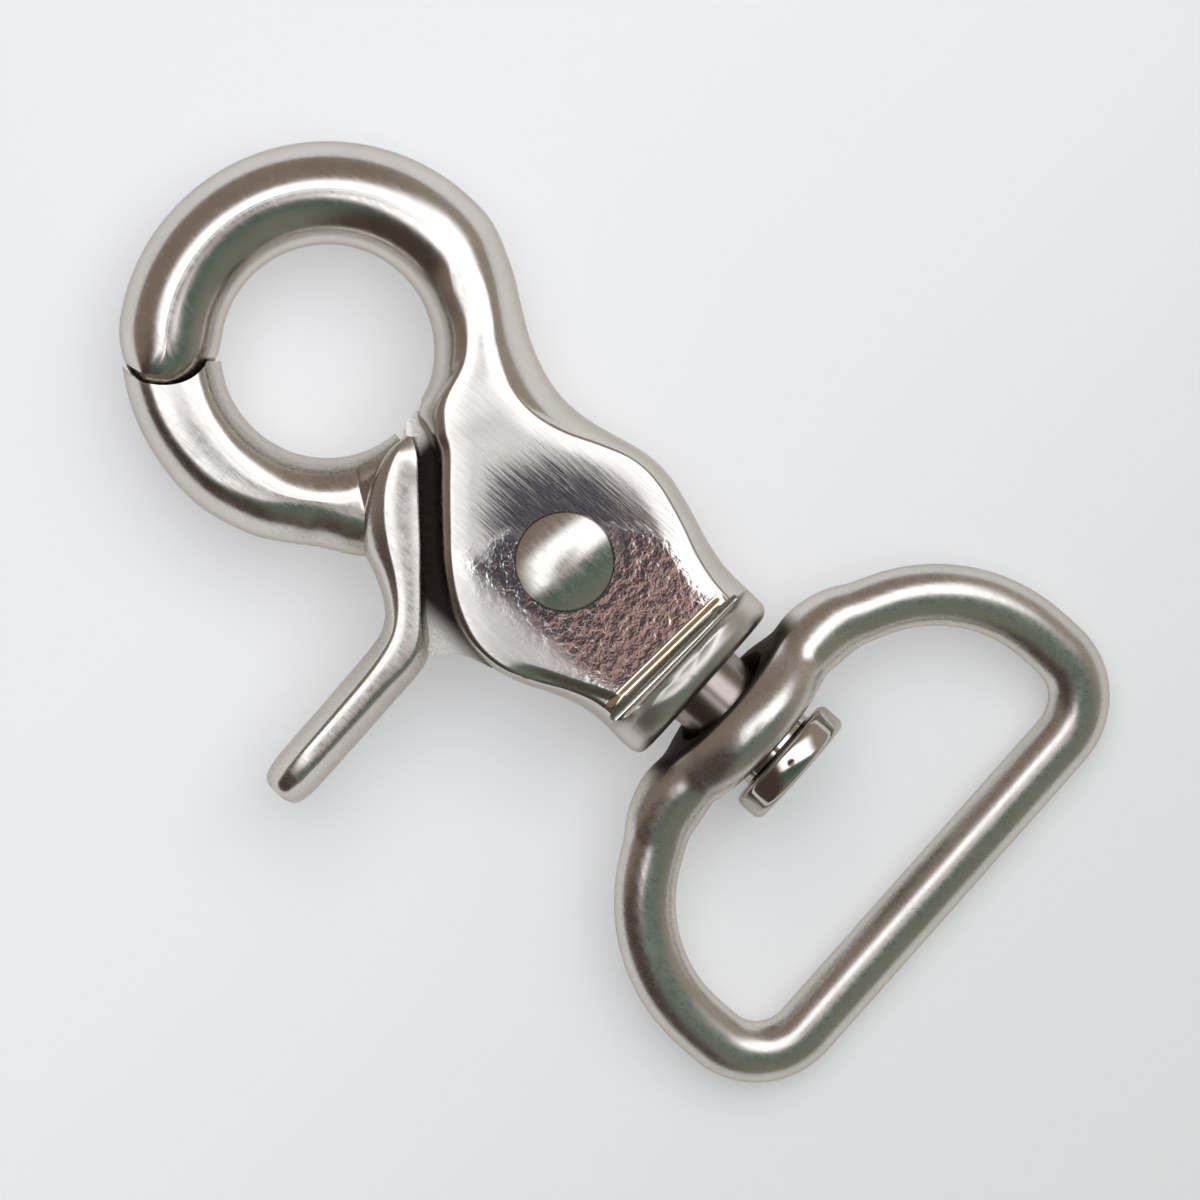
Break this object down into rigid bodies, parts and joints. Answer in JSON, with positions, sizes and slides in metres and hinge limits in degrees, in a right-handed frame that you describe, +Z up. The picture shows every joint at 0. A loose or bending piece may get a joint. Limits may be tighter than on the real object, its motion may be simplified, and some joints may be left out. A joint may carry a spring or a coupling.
{
  "type": "swivel snap hook",
  "caption": "Scissor-type swivel snap hook: round sprung-lever eye, flat cheeks with a domed pivot rivet, headed swivel pin and a D-shaped strap ring.",
  "frame": {"origin": "centre of the bounding box on the table, with the hook lying flat on its rivet dome and its strap bar", "axes": "+X along the swivel pin from the eye towards the strap ring, +Y away from the thumb trigger, +Z up out of the cheek"},
  "size_m": [0.06, 0.0376, 0.0104],
  "materials": {
    "cast_nickel": "satin nickel plate, brushed on the flats",
    "rivet_nickel": "satin nickel plate",
    "pin_nickel": "bright nickel plate",
    "spring_wire": "drawn spring wire"
  },
  "bodies": {
    "hook": {"hook_body": "cast_nickel", "pivot_rivet": "rivet_nickel", "lever_spring": "spring_wire"},
    "lever": {"lever": "cast_nickel"},
    "pin": {"swivel_pin": "pin_nickel"},
    "ring": {"strap_ring": "cast_nickel"}
  },
  "joints": [
    {"name": "lever_pivot", "type": "hinge", "parent": "hook", "child": "lever", "pos_m": [0.00011, 0.00194, 0.0052], "axis": [0, 0, 1], "range_deg": [0, 28], "stiffness_Nm_per_rad": 0.04, "springref_deg": -40.11, "deforming": ["lever_spring"]},
    {"name": "pin_swivel", "type": "hinge", "parent": "hook", "child": "pin", "pos_m": [0.00911, 0.00194, 0.0052], "axis": [1, 0, 0], "continuous": true},
    {"name": "ring_rock", "type": "hinge", "parent": "pin", "child": "ring", "pos_m": [0.01356, 0.00194, 0.0052], "axis": [0, -1, 0], "range_deg": [-2.4, 28.5]}
  ]
}
